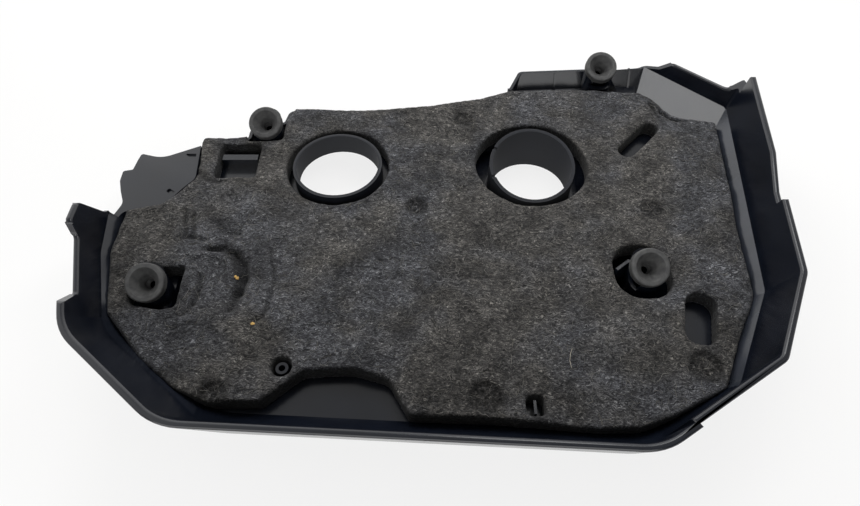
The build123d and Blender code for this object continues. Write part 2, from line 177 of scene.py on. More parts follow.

# Creases and ridges of the felt, the creases with painted shade by their depth: points of the line, half
# width, rise
FOLDS = [
    ([(-197.0, -102.5), (-185.6, -98.4), (-175.3, -101.8), (-167.5, -110.6), (-163.6, -123.6)], 3.4, 2.8),
    (
        [
            (-186.6, -94.0), (-175.9, -92.2), (-164.9, -99.1),
            (-157.3, -110.6), (-154.2, -123.6), (-155.6, -137.8),
        ],
        4.2,
        -5.5,
    ),
    ([(-155.6, -137.8), (-157.9, -153.1)], 3.4, -2.6),
    ([(-164.9, -97.1), (-154.8, -109.6), (-151.6, -123.6), (-153.6, -135.0)], 1.6, -2.2),
    (
        [
            (-136.0, -95.4), (-130.7, -112.2), (-127.9, -126.8),
            (-128.9, -145.5), (-131.4, -158.3), (-137.1, -162.7),
        ],
        1.8,
        -2.0,
    ),
    ([(-140.0, -96.0), (-134.7, -113.0), (-131.9, -127.0), (-132.9, -145.0)], 3.0, 0.8),
    ([(-189.0, -120.4), (-185.5, -133.1), (-187.0, -140.9), (-189.5, -147.0)], 2.0, -2.6),
    ([(-216.3, -52.9), (-213.7, -66.9), (-209.3, -80.5), (-192.8, -84.6)], 2.0, -2.4),
    ([(-208.4, -57.7), (-203.4, -79.6)], 2.0, -1.8),
    ([(-185.5, -58.6), (-182.2, -74.6), (-166.4, -76.4)], 2.2, -1.9),
    ([(-204.2, -160.5), (-192.9, -154.6), (-186.9, -147.0)], 2.4, -1.2),
    ([(-199.5, -169.2), (-188.1, -164.1), (-177.2, -167.7)], 2.2, -1.0),
    ([(-112.3, -139.4), (-109.9, -154.6), (-110.9, -164.1), (-117.8, -164.6)], 2.0, -0.7),
    ([(217.0, 88.0), (222.0, 72.0)], 2.4, -3.4),
    ([(226.0, 80.0), (238.0, 68.0), (248.0, 67.0)], 2.6, -3.6),
    ([(236.0, 88.0), (243.0, 80.0)], 2.2, -2.6),
    ([(-216.0, -8.0), (-206.0, -16.0), (-190.0, -17.0)], 3.0, -2.0),
]

# Thin slits in the face of the felt, drawn only as lines of painted shade: half width in millimetres, then
# the points of each
SLIT_WIDTH = 0.75
SLITS = [
    [(-85.6, -111.4), (-69.3, -112.5), (-54.4, -112.5), (-39.5, -115.5)],
    [(2.2, -117.9), (16.9, -121.2), (35.5, -122.3), (55.4, -123.9)],
]

# Loose bits that lie on the felt, in millimetres: golden crumbs by x, y, size, and one pale hair
# by its points, with its radius, number of sides and height over the felt
CRUMBS = [(-159.4, -122.5, 1.9), (-138.4, -166.0, 1.6)]
HAIR = [(100.4, -186.4), (98.6, -190.5), (97.4, -196.0), (97.8, -202.0)]
HAIR_RADIUS = 0.2
HAIR_SIDES = 5
HAIR_LIFT = 0.3
# Grains of a crumb: number, turn from one to the next in radians, then as shares of the crumb's size
# their distance from its middle, radius, how much less each next one has, and height over the felt
GRAINS = 6
GRAIN_TURN = 2.4
GRAIN_OUT = 0.55
GRAIN_RADIUS = 0.62
GRAIN_LESS = 0.05
GRAIN_LIFT = 0.25
# Share by which a grain is uneven, size of that in millimetres, and how flat the grain is
GRAIN_UNEVEN = 0.35
GRAIN_BUMPS = 0.6
GRAIN_FLAT = 0.7

# Loose fibres: per square metre, length and radius in millimetres, least and greatest share of the
# length, size and swing of their curl and height over the felt in millimetres, and least upward lean
# of the felt under them
FIBRE_DENSITY = 60000.0
FIBRE_LENGTH = 6.5
FIBRE_RADIUS = 0.14
FIBRE_SHARES = (0.45, 1.35)
FIBRE_CURL = 4.5
FIBRE_SWING = 9.0
FIBRE_LIFT = 0.12
FIBRE_UP = 0.6
# Heights in millimetres: over the felt from which a fibre is dropped, how far it may fall,
# and over the show panel from which the felt's level is probed
DROP_FROM = 8.0
DROP = 20.0
PROBE_FROM = 60.0


def linear(colour):
    """Linear RGBA of an sRGB hex colour."""
    parts = [int(colour[i:i + 2], 16) / 255 for i in (1, 3, 5)]
    return [c / 12.92 if c <= 0.04045 else ((c + 0.055) / 1.055) ** 2.4 for c in parts] + [1.0]


def add_node(tree, kind, links=None, **settings):
    """One shader or geometry node with its settings; links maps an input to a value or an output."""
    made = tree.nodes.new(kind)
    for name, value in settings.items():
        setattr(made, name, value)
    for name, value in (links or {}).items():
        if isinstance(value, bpy.types.NodeSocket):
            tree.links.new(value, made.inputs[name])
        else:
            made.inputs[name].default_value = value
    return made


def new_material(name):
    """Empty material with its tree and shader."""
    material = bpy.data.materials.new(name)
    material.use_nodes = True
    tree = material.node_tree
    return material, tree, tree.nodes["Principled BSDF"]


def colour_steps(tree, factor, steps):
    """Colour that follows a factor through (position, hex) steps."""
    ramp = add_node(tree, "ShaderNodeValToRGB", {"Fac": factor})
    ends = ramp.color_ramp.elements
    ends[0].position, ends[1].position = steps[0][0], steps[-1][0]
    ends[0].color, ends[1].color = linear(steps[0][1]), linear(steps[-1][1])
    for position, colour in steps[1:-1]:
        ends.new(position).color = linear(colour)
    return ramp.outputs["Color"]


def moulded_polypropylene():
    """Black filled polypropylene, injection moulded: satin, faintly blue, dull on the collars."""
    material, tree, shader = new_material("moulded_polypropylene")
    place = add_node(tree, "ShaderNodeTexCoord").outputs["Object"]
    shader.inputs["IOR"].default_value = 1.55
    haze = add_node(tree, "ShaderNodeTexNoise", {"Vector": place, "Scale": 1 / (38 * MM), "Detail": 5.0})
    tone = colour_steps(tree, haze.outputs["Fac"], [(0.3, "#0b0e15"), (0.7, "#10141d")])
    # Painted light: the marked sloped strips beside the felt take a lighter grey
    lit_tone = colour_steps(tree, haze.outputs["Fac"], [(0.3, "#1e2126"), (0.7, "#2d3038")])
    painted_light = add_node(tree, "ShaderNodeAttribute", attribute_name="painted_light")
    mixed = add_node(tree, "ShaderNodeMix", {"Factor": painted_light.outputs["Fac"]}, data_type="RGBA")
    tree.links.new(tone, mixed.inputs["A"])
    tree.links.new(lit_tone, mixed.inputs["B"])
    tree.links.new(mixed.outputs["Result"], shader.inputs["Base Color"])
    # Distance in plan from the nearer axis of the two openings
    flat = add_node(tree, "ShaderNodeMapping", {"Vector": place, "Scale": (1, 1, 0)})
    away = []
    for x in OPENINGS:
        away.append(
            add_node(
                tree,
                "ShaderNodeVectorMath",
                {0: flat.outputs["Vector"], 1: (x * MM, 0, 0)},
                operation="DISTANCE",
            ).outputs["Value"]
        )
    nearest = add_node(tree, "ShaderNodeMath", {0: away[0], 1: away[1]}, operation="MINIMUM")
    dull = add_node(
        tree,
        "ShaderNodeMapRange",
        {
            "Value": nearest.outputs[0],
            "From Min": COLLAR_DULL[0] * MM,
            "From Max": COLLAR_DULL[1] * MM,
            "To Min": 0.75,
            "To Max": 0.15,
        },
    )
    gloss = add_node(
        tree, "ShaderNodeMapRange", {"Value": haze.outputs["Fac"], "To Min": 0.0, "To Max": 0.12}
    )
    rough = add_node(
        tree, "ShaderNodeMath", {0: dull.outputs["Result"], 1: gloss.outputs["Result"]}, operation="ADD"
    )
    tree.links.new(rough.outputs[0], shader.inputs["Roughness"])
    # The etched grain is about 0.3 mm; it is drawn at 0.9 mm so that it shows
    grain = add_node(tree, "ShaderNodeTexNoise", {"Vector": place, "Scale": 1 / (0.9 * MM), "Detail": 2.0})
    relief = add_node(
        tree, "ShaderNodeBump", {"Height": grain.outputs["Fac"], "Strength": 0.08, "Distance": 0.12 * MM}
    )
    tree.links.new(relief.outputs["Normal"], shader.inputs["Normal"])
    return material


def needled_felt():
    """Recycled polyester felt, needled into a mat: dull charcoal heather of curly strands, cool and warm."""
    material, tree, shader = new_material("needled_felt")
    place = add_node(tree, "ShaderNodeTexCoord").outputs["Object"]
    shader.inputs["Roughness"].default_value = 0.95
    shader.inputs["Specular IOR Level"].default_value = 0.12
    shader.inputs["Sheen Weight"].default_value = 0.06
    shader.inputs["Sheen Roughness"].default_value = 0.6
    # Strands curl because their coordinates are pushed about by up to 4 mm
    curl = add_node(tree, "ShaderNodeTexNoise", {"Vector": place, "Scale": 1 / (5 * MM), "Detail": 2.0})
    swing = add_node(
        tree, "ShaderNodeVectorMath", {0: curl.outputs["Color"], 1: (0.5, 0.5, 0.5)}, operation="SUBTRACT"
    )
    pushed = add_node(
        tree,
        "ShaderNodeVectorMath",
        {0: swing.outputs["Vector"], 1: (8 * MM, 8 * MM, 8 * MM), 2: place},
        operation="MULTIPLY_ADD",
    )
    # Three layers of strands, each 0.7 mm by 4 mm, laid across each other
    layers = []
    for turn in (40.0, 100.0, 160.0):
        laid = add_node(
            tree,
            "ShaderNodeMapping",
            {
                "Vector": pushed.outputs["Vector"],
                "Rotation": (0, 0, radians(turn)),
                "Scale": (1 / (4 * MM), 1 / (0.7 * MM), 1 / (2 * MM)),
                "Location": (turn, turn, turn),
            },
        )
        layer = add_node(
            tree, "ShaderNodeTexNoise", {"Vector": laid.outputs["Vector"], "Scale": 1.0, "Detail": 2.5}
        )
        layers.append(layer.outputs["Fac"])
    over = add_node(tree, "ShaderNodeMath", {0: layers[0], 1: layers[1]}, operation="MAXIMUM")
    strands = add_node(tree, "ShaderNodeMath", {0: over.outputs[0], 1: layers[2]}, operation="MAXIMUM")
    clouds = add_node(
        tree, "ShaderNodeTexNoise", {"Vector": place, "Scale": 1 / (26 * MM), "Detail": 5.0, "Roughness": 0.6}
    )
    cool = colour_steps(
        tree, strands.outputs[0], [(0.42, "#171719"), (0.54, "#2c2c2f"), (0.63, "#4b4c4f"), (0.76, "#868789")]
    )
    warm = colour_steps(
        tree, strands.outputs[0], [(0.42, "#181817"), (0.54, "#2e2d2c"), (0.63, "#4e4c4a"), (0.76, "#86837d")]
    )
    patches = add_node(tree, "ShaderNodeTexNoise", {"Vector": place, "Scale": 1 / (60 * MM), "Detail": 3.0})
    turned = add_node(
        tree, "ShaderNodeMapRange", {"Value": patches.outputs["Fac"], "From Min": 0.42, "From Max": 0.58}
    )
    heather = add_node(tree, "ShaderNodeMix", {"Factor": turned.outputs["Result"]}, data_type="RGBA")
    tree.links.new(cool, heather.inputs["A"])
    tree.links.new(warm, heather.inputs["B"])
    shade = add_node(
        tree,
        "ShaderNodeMapRange",
        {"Value": clouds.outputs["Fac"], "From Min": 0.3, "From Max": 0.7, "To Min": 0.46, "To Max": 1.58},
    )
    # The painted shade stored on the felt's vertices darkens its colour
    painted_shade = add_node(tree, "ShaderNodeAttribute", attribute_name="painted_shade")
    darker = add_node(
        tree, "ShaderNodeMapRange", {"Value": painted_shade.outputs["Fac"], "To Min": 1.0, "To Max": 0.2}
    )
    level = add_node(
        tree,
        "ShaderNodeMath",
        {0: shade.outputs["Result"], 1: darker.outputs["Result"]},
        operation="MULTIPLY",
    )
    tinted = add_node(tree, "ShaderNodeMix", {"Factor": 1.0}, data_type="RGBA", blend_type="MULTIPLY")
    tree.links.new(heather.outputs["Result"], tinted.inputs["A"])
    tree.links.new(level.outputs[0], tinted.inputs["B"])
    tree.links.new(tinted.outputs["Result"], shader.inputs["Base Color"])
    relief = add_node(
        tree, "ShaderNodeBump", {"Height": strands.outputs[0], "Strength": 0.5, "Distance": 1.0 * MM}
    )
    tree.links.new(relief.outputs["Normal"], shader.inputs["Normal"])
    return material


def felt_fibre():
    """Loose polyester fibres on the felt, each with its own tone from dark over grey and brown to pale."""
    material, tree, shader = new_material("felt_fibre")
    shader.inputs["Roughness"].default_value = 0.8
    shader.inputs["Specular IOR Level"].default_value = 0.2
    own = add_node(tree, "ShaderNodeAttribute", attribute_name="fibre_tone")
    tone = colour_steps(
        tree,
        own.outputs["Fac"],
        [(0.0, "#1c1c1d"), (0.4, "#3e3e3f"), (0.75, "#5a5a59"), (0.92, "#69665f"), (1.0, "#85837f")],
    )
    tree.links.new(tone, shader.inputs["Base Color"])
    return material


def epdm_rubber():
    """Moulded EPDM rubber, dull dark grey with dry dust in its pores."""
    material, tree, shader = new_material("epdm_rubber")
    place = add_node(tree, "ShaderNodeTexCoord").outputs["Object"]
    shader.inputs["Roughness"].default_value = 0.62
    shader.inputs["IOR"].default_value = 1.5
    dust = add_node(tree, "ShaderNodeTexNoise", {"Vector": place, "Scale": 1 / (4 * MM), "Detail": 5.0})
    tone = colour_steps(tree, dust.outputs["Fac"], [(0.3, "#333334"), (0.7, "#4c4c4b")])
    tree.links.new(tone, shader.inputs["Base Color"])
    relief = add_node(
        tree, "ShaderNodeBump", {"Height": dust.outputs["Fac"], "Strength": 0.25, "Distance": 0.2 * MM}
    )
    tree.links.new(relief.outputs["Normal"], shader.inputs["Normal"])
    return material


def plain_material(name, colour, roughness):
    """One plain colour, for the crumbs and the hair."""
    material, _, shader = new_material(name)
    shader.inputs["Base Color"].default_value = linear(colour)
    shader.inputs["Roughness"].default_value = roughness
    return material


def new_object(name, mesh, material):
    """Mesh object at the origin with one material."""
    made = bpy.data.objects.new(name, mesh)
    bpy.context.scene.collection.objects.link(made)
    mesh.materials.clear()
    mesh.materials.append(material)
    return made


def merged_copy(node):
    """Copy of a CAD node's mesh with its loose triangles joined and its flat faces whole."""
    mesh = nodes[node].data.copy()
    form = bmesh.new()
    form.from_mesh(mesh)
    bmesh.ops.remove_doubles(form, verts=form.verts, dist=0.002 * MM)
    bmesh.ops.dissolve_limit(form, angle_limit=radians(0.4), verts=form.verts, edges=form.edges)
    form.to_mesh(mesh)
    form.free()
    return mesh


def settled(made):
    """The object's mesh with its modifiers applied and removed."""
    bpy.context.view_layer.update()
    finished = bpy.data.meshes.new_from_object(made.evaluated_get(bpy.context.evaluated_depsgraph_get()))
    made.modifiers.clear()
    old = made.data
    made.data = finished
    bpy.data.meshes.remove(old)
    return made


def round_rim(mesh):
    """Round the rim, the high edges of faces that look up, and mark the sloped strips inside the skirt that
    get painted light.
    """
    form = bmesh.new()
    form.from_mesh(mesh)
    rim = []
    for edge in form.edges:
        if len(edge.link_faces) != 2 or edge.calc_face_angle() < radians(RIM_BEND):
            continue
        middle = (edge.verts[0].co + edge.verts[1].co) / (2 * MM)
        beside = min(hypot(middle.x - x, middle.y) for x in OPENINGS)
        looks_up = any(face.normal.z > LAND_UP for face in edge.link_faces)
        if middle.z > RIM_LOW and beside > COLLAR_REACH and looks_up:
            rim.append(edge)
    # Painted light on the sloped strips: full on the right one, a share on the left one
    painted_light = form.faces.layers.float.new("painted_light")
    for face in form.faces:
        middle = face.calc_center_median() / MM
        sloped = STRIP_UP[0] < face.normal.z < STRIP_UP[1]
        if sloped and STRIP_LOW < middle.z < STRIP_HIGH and middle.y < STRIP_BACK:
            face[painted_light] = 1.0 if middle.x > STRIP_RIGHT else LEFT_LIGHT * (middle.x < STRIP_LEFT)
    bmesh.ops.bevel(
        form,
        geom=rim,
        offset=RIM_ROUND * MM,
        offset_type="OFFSET",
        segments=4,
        profile=0.5,
        affect="EDGES",
    )
    form.to_mesh(mesh)
    form.free()


def moulded_shell(material):
    """The shell with a round rim and softly rounded moulded edges."""
    mesh = merged_copy("cover_shell")
    round_rim(mesh)
    mesh.shade_smooth()
    shell = new_object("shell_moulding", mesh, material)
    rounding = shell.modifiers.new("edges", "BEVEL")
    rounding.width = EDGE_ROUND * MM
    rounding.segments = 2
    rounding.limit_method = "ANGLE"
    rounding.angle_limit = radians(EDGE_BEND)
    flatness = shell.modifiers.new("flat_faces", "WEIGHTED_NORMAL")
    flatness.weight = 90
    return settled(shell)


def outline_tree():
    """Search tree of points along the upper outline of the felt, in millimetres."""
    form = bmesh.new()
    form.from_mesh(merged_copy("insulation_felt"))
    points = []
    for edge in form.edges:
        a, b = (vert.co / MM for vert in edge.verts)
        if min(a.z, b.z) < FELT_TOP - LEVEL_SLACK:
            continue
        if all(face.normal.z > FLAT_UP for face in edge.link_faces):
            continue
        steps = max(1, int((b - a).length / OUTLINE_STEP))
        points += [a.lerp(b, i / steps) for i in range(steps + 1)]
    form.free()
    tree = kdtree.KDTree(len(points))
    for i, point in enumerate(points):
        tree.insert((point.x, point.y, 0), i)
    tree.balance()
    return tree


def distance_to_line(x, y, line):
    """Distance in plan from a point to a line of points."""
    best = 1e9
    for (ax, ay), (bx, by) in zip(line, line[1:]):
        dx, dy = bx - ax, by - ay
        t = max(0.0, min(1.0, ((x - ax) * dx + (y - ay) * dy) / (dx * dx + dy * dy)))
        best = min(best, hypot(x - ax - t * dx, y - ay - t * dy))
    return best


def bell(away, reach):
    """Bell curve that is 1 in the middle and has died away at three times its reach."""
    return exp(-(away / reach) ** 2) if away < 3 * reach else 0.0


def felt_shape(x, y, edge):
    """Height of the felt's face over its nominal level, in millimetres, and the painted shade on it, 0 to 1.
    """
    wave = noise.fractal(Vector((x / WAVE_SIZE, y / WAVE_SIZE, 3.0)), 1.0, 2.0, 3)
    clump = noise.fractal(Vector((x / CLUMP_SIZE, y / CLUMP_SIZE, 9.0)), 0.9, 2.1, 3)
    height = FELT_WAVE * wave + FELT_CLUMP * clump
    # Painted shade in the hollows of the clumps and waves
    painted_shade = max(0.0, -CLUMP_SHADE * clump - WAVE_SHADE * wave)
    rounding = FELT_EDGE * (1 + EDGE_UNEVEN * noise.noise(Vector((x / EDGE_SIZE, y / EDGE_SIZE, 5.0))))
    for sx, sy, reach, soft in SOFT_EDGES:
        rounding = max(rounding, soft * bell(hypot(x - sx, y - sy), 0.7 * reach))
    for sx, sy, reach, rise in SWELLS:
        height += rise * bell(hypot(x - sx, y - sy), 0.6 * reach)
    for wx, wy, reach, depth in WELDS:
        away = hypot(x - wx, y - wy)
        if away < 1.6 * reach:
            disc = 1 / (1 + exp((away - reach) / WELD_EDGE))
            rough = noise.fractal(Vector((x / WELD_GRAIN, y / WELD_GRAIN, 1.0)), 0.8, 2.0, 2)
            height -= disc * (depth - WELD_ROUGH * rough)
            ring = bell(abs(away - reach), 2 * WELD_EDGE)
            # Painted shade in the weld's dimple and the hollows of its grain, and at its ring
            painted_shade += disc * (WELD_SHADE - WELD_GRAIN_SHADE * rough) + RING_SHADE * ring
    for line, reach, rise in FOLDS:
        away = distance_to_line(x, y, line) + 0.5 * clump
        height += rise * bell(abs(away), reach)
        # A crease gets painted shade by its depth
        if rise < 0:
            painted_shade -= FOLD_SHADE * rise * bell(abs(away), 0.8 * reach)
    # A slit is only a thin line of painted shade
    for line in SLITS:
        painted_shade += SLIT_SHADE * bell(distance_to_line(x, y, line), SLIT_WIDTH)
    if edge < rounding:
        height -= rounding - (rounding ** 2 - (rounding - edge) ** 2) ** 0.5
    return height, max(0.0, min(1.0, painted_shade))


def spread(x, y):
    """How far the right border of the felt lies over the sloped strip, in millimetres."""
    along = bell(abs(y - SPREAD_PLACE[1]), SPREAD_REACH)
    return SPREAD * along * max(0.0, min(1.0, (x - SPREAD_PLACE[0]) / SPREAD_RUN))


def close_underside(form, under, level):
    """Put a few large faces in place of the many small ones of the flat underside."""
    whole = BVHTree.FromBMesh(form)
    flat = [face for face in form.faces if all(vert in under for vert in face.verts)]
    bmesh.ops.delete(form, geom=flat, context="FACES")
    rim = [edge for edge in form.edges if edge.is_boundary]
    corners = list(dict.fromkeys(vert for edge in rim for vert in edge.verts))
    order = {vert: i for i, vert in enumerate(corners)}
    sides = [tuple(order[vert] for vert in edge.verts) for edge in rim]
    flat_corners = [vert.co.xy for vert in corners]
    places, _, faces, sources, *_ = delaunay_2d_cdt(flat_corners, sides, [], 1, JOIN)
    for face in faces:
        centre = sum((places[i] for i in face), Vector((0, 0))) / len(face)
        inside = whole.ray_cast((centre.x, centre.y, level - PROBE_BELOW * MM), (0, 0, 1))[0]
        if inside and all(sources[i] for i in face):
            form.faces.new([corners[sources[i][0]] for i in reversed(face)])


def felt_mat(material):
    """Soft felt mat: the CAD outline with rounded edges, an uneven face, weld points and folds."""
    felt = new_object("felt_mat", merged_copy("insulation_felt"), material)
    remesh = felt.modifiers.new("felting", "REMESH")
    remesh.mode = "VOXEL"
    remesh.voxel_size = FELT_PITCH * MM
    settled(felt)
    tree = outline_tree()
    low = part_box("insulation_felt")[0]
    form = bmesh.new()
    form.from_mesh(felt.data)
    form.verts.ensure_lookup_table()
    painted_shade = form.verts.layers.float.new("painted_shade")
    under = set()
    for vert in form.verts:
        x, y, z = vert.co / MM
        vert.co.x += spread(x, y) * MM
        share = (z - low.z / MM) / (FELT_TOP - low.z / MM)
        if share < UNDER_SHARE:
            under.add(vert)
            vert.co.z = low.z
            continue
        edge = tree.find((x, y, 0))[2]
        height, shade_value = felt_shape(x, y, edge)
        vert.co.z += min(1.0, share) ** 2 * height * MM
        vert[painted_shade] = shade_value
        if edge < 0.6 * FELT_PITCH:
            grain = Vector((x / FUZZ_SIZE, y / FUZZ_SIZE, z / FUZZ_SIZE))
            fuzz = FUZZ * noise.noise(grain) - FUZZ_IN
            vert.co.x += vert.normal.x * fuzz * MM
            vert.co.y += vert.normal.y * fuzz * MM
    form.normal_update()
    # Painted shade on the steep sides of the felt, added to the rest
    for vert in form.verts:
        if vert not in under:
            steep = 1 - abs(vert.normal.z)
            vert[painted_shade] = min(DARKEST, vert[painted_shade] + STEEP_SHADE * max(0.0, steep - STEEP_FREE))
    close_underside(form, under, low.z)
    form.to_mesh(felt.data)
    form.free()
    felt.data.shade_smooth()
    return felt


def fibre_nodes():
    """Geometry nodes that strew curly fibres over the upper side of a mesh and lay them on it."""
    tree = bpy.data.node_groups.new("loose_fibres", "GeometryNodeTree")
    sides = tree.interface
    sides.new_socket("Geometry", in_out="INPUT", socket_type="NodeSocketGeometry")
    for name in ("Density", "Length", "Radius"):
        sides.new_socket(name, in_out="INPUT", socket_type="NodeSocketFloat")
    sides.new_socket("Material", in_out="INPUT", socket_type="NodeSocketMaterial")
    sides.new_socket("Geometry", in_out="OUTPUT", socket_type="NodeSocketGeometry")
    given = add_node(tree, "NodeGroupInput").outputs
    # Points on the faces that look up
    normal = add_node(tree, "GeometryNodeInputNormal").outputs[0]
    facing = add_node(tree, "ShaderNodeSeparateXYZ", {0: normal})
    upper = add_node(
        tree, "FunctionNodeCompare", {0: facing.outputs["Z"], 1: FIBRE_UP}, operation="GREATER_THAN"
    )
    points = add_node(
        tree,
        "GeometryNodeDistributePointsOnFaces",
        {"Mesh": given["Geometry"], "Selection": upper.outputs[0], "Density": given["Density"], "Seed": 11},
    )
    # One straight fibre on each point, turned and sized at random
    half = add_node(tree, "ShaderNodeMath", {0: given["Length"], 1: -0.5}, operation="MULTIPLY")
    tip = add_node(tree, "ShaderNodeMath", {0: given["Length"], 1: 0.5}, operation="MULTIPLY")
    ends = [add_node(tree, "ShaderNodeCombineXYZ", {"X": end.outputs[0]}) for end in (half, tip)]
    line = add_node(
        tree, "GeometryNodeCurvePrimitiveLine", {"Start": ends[0].outputs[0], "End": ends[1].outputs[0]}
    )
    strand = add_node(tree, "GeometryNodeResampleCurve", {"Curve": line.outputs[0], "Count": 4})
    turn = add_node(
        tree,
        "FunctionNodeRandomValue",
        {"Min": (0, 0, 0), "Max": (0, 0, 2 * pi), "Seed": 12},
        data_type="FLOAT_VECTOR",
    )
    size = add_node(
        tree,
        "FunctionNodeRandomValue",
        {2: FIBRE_SHARES[0], 3: FIBRE_SHARES[1], "Seed": 13},
        data_type="FLOAT",
    )
    laid = add_node(
        tree,
        "GeometryNodeInstanceOnPoints",
        {
            "Points": points.outputs["Points"],
            "Instance": strand.outputs[0],
            "Rotation": turn.outputs["Value"],
            "Scale": size.outputs[1],
        },
    )
    tone = add_node(tree, "FunctionNodeRandomValue", {2: 0.0, 3: 1.0, "Seed": 14}, data_type="FLOAT")
    toned = add_node(
        tree,
        "GeometryNodeStoreNamedAttribute",
        {"Geometry": laid.outputs[0], "Name": "fibre_tone", "Value": tone.outputs[1]},
        data_type="FLOAT",
        domain="INSTANCE",
    )
    loose = add_node(tree, "GeometryNodeRealizeInstances", {"Geometry": toned.outputs[0]})
    # Curl by a noise, then drop each point on the mesh
    at = add_node(tree, "GeometryNodeInputPosition").outputs[0]
    curl = add_node(tree, "ShaderNodeTexNoise", {"Vector": at, "Scale": 1 / (FIBRE_CURL * MM), "Detail": 1.0})
    swing = add_node(
        tree, "ShaderNodeVectorMath", {0: curl.outputs["Color"], 1: (0.5, 0.5, 0.5)}, operation="SUBTRACT"
    )
    pushed = add_node(
        tree,
        "ShaderNodeVectorMath",
        {0: swing.outputs[0], 1: (FIBRE_SWING * MM, FIBRE_SWING * MM, 0), 2: at},
        operation="MULTIPLY_ADD",
    )
    above = add_node(
        tree, "ShaderNodeVectorMath", {0: pushed.outputs[0], 1: (0, 0, DROP_FROM * MM)}, operation="ADD"
    )
    fall = add_node(
        tree,
        "GeometryNodeRaycast",
        {
            "Target Geometry": given["Geometry"],
            "Source Position": above.outputs[0],
            "Ray Direction": (0, 0, -1),
            "Ray Length": DROP * MM,
        },
    )
    lift = add_node(
        tree,
        "ShaderNodeVectorMath",
        {0: fall.outputs["Hit Position"], 1: (0, 0, FIBRE_LIFT * MM)},
        operation="ADD",
    )
    # Strands that ran off the edge of the mesh are left out
    missed = add_node(tree, "FunctionNodeBooleanMath", {0: fall.outputs["Is Hit"]}, operation="NOT")
    share = add_node(
        tree, "GeometryNodeFieldOnDomain", {0: missed.outputs[0]}, data_type="FLOAT", domain="POINT"
    )
    gone = add_node(tree, "FunctionNodeCompare", {0: share.outputs[0], 1: 0.0}, operation="GREATER_THAN")
    kept = add_node(
        tree,
        "GeometryNodeDeleteGeometry",
        {"Geometry": loose.outputs[0], "Selection": gone.outputs[0]},
        domain="CURVE",
    )
    placed = add_node(
        tree, "GeometryNodeSetPosition", {"Geometry": kept.outputs[0], "Position": lift.outputs[0]}
    )
    profile = add_node(
        tree, "GeometryNodeCurvePrimitiveCircle", {"Resolution": 3, "Radius": given["Radius"]}, mode="RADIUS"
    )
    tubes = add_node(
        tree,
        "GeometryNodeCurveToMesh",
        {"Curve": placed.outputs[0], "Profile Curve": profile.outputs[0], "Fill Caps": True},
    )
    whole = add_node(tree, "GeometryNodeRealizeInstances", {"Geometry": tubes.outputs[0]})
    coloured = add_node(
        tree, "GeometryNodeSetMaterial", {"Geometry": whole.outputs[0], "Material": given["Material"]}
    )
    add_node(tree, "NodeGroupOutput", {"Geometry": coloured.outputs[0]})
    return tree


def loose_fibres(felt, material):
    """Fibres that lie on the felt, as one plain mesh."""
    fibres = new_object("felt_fibres", felt.data.copy(), material)
    strewing = fibres.modifiers.new("fibres", "NODES")
    strewing.node_group = fibre_nodes()
    values = {
        "Density": FIBRE_DENSITY,
        "Length": FIBRE_LENGTH * MM,
        "Radius": FIBRE_RADIUS * MM,
        "Material": material,
    }
    for socket in strewing.node_group.interface.items_tree:
        if socket.in_out == "INPUT" and socket.name in values:
            strewing[socket.identifier] = values[socket.name]
    return settled(fibres)


def felt_level(felt, x, y):
    """Height of the felt's face at a place, in metres."""
    hit = felt.ray_cast(Vector((x * MM, y * MM, PROBE_FROM * MM)), Vector((0, 0, -1)))
    return hit[1].z


def crumbs(felt, material):
    """Golden crumbs on the felt, each a small heap of grains."""
    form = bmesh.new()
    for place, (x, y, size) in enumerate(CRUMBS):
        for grain in range(GRAINS):
            turn = GRAIN_TURN * grain + place
            out = GRAIN_OUT * size * (grain > 0)
            gx, gy = x + out * cos(turn), y + out * sin(turn)
            radius = (GRAIN_RADIUS - GRAIN_LESS * grain) * size * MM
            made = bmesh.ops.create_icosphere(form, subdivisions=1, radius=radius)
            centre = Vector((gx * MM, gy * MM, felt_level(felt, gx, gy) + GRAIN_LIFT * size * MM))
            for vert in made["verts"]:
                bumps = noise.noise(vert.co / (GRAIN_BUMPS * MM) + Vector((grain, place, 0)))
                flat = Vector((vert.co.x, vert.co.y, GRAIN_FLAT * vert.co.z))
                vert.co = centre + flat * (1 + GRAIN_UNEVEN * bumps)
    mesh = bpy.data.meshes.new("crumbs")
    form.to_mesh(mesh)
    form.free()
    return new_object("crumbs", mesh, material)


def pale_hair(felt, material):
    """One pale hair on the felt, a thin closed tube along its points."""
    sides, verts = HAIR_SIDES, []
    for x, y in HAIR:
        centre = Vector((x * MM, y * MM, felt_level(felt, x, y) + HAIR_LIFT * MM))
        for i in range(sides):
            turn = 2 * pi * i / sides
            verts.append(centre + HAIR_RADIUS * MM * Vector((cos(turn), 0, sin(turn))))
    faces = [list(range(sides))[::-1], [len(verts) - sides + i for i in range(sides)]]
    for ring in range(len(HAIR) - 1):
        for i in range(sides):
            a, b = ring * sides + i, ring * sides + (i + 1) % sides
            faces.append([a, b, b + sides, a + sides])
    mesh = bpy.data.meshes.new("pale_hair")
    mesh.from_pydata(verts, [], faces)
    return new_object("pale_hair", mesh, material)


def backdrop_rays(tree):
    """1 for rays that show the white backdrop, seen, mirrored or through a clear piece, and 0 for light."""
    ray = add_node(tree, "ShaderNodeLightPath").outputs
    seen = add_node(
        tree, "ShaderNodeMath", {0: ray["Is Camera Ray"], 1: ray["Is Glossy Ray"]}, operation="MAXIMUM"
    )
    return add_node(
        tree, "ShaderNodeMath", {0: seen.outputs[0], 1: ray["Is Transmission Ray"]}, operation="MAXIMUM"
    ).outputs[0]


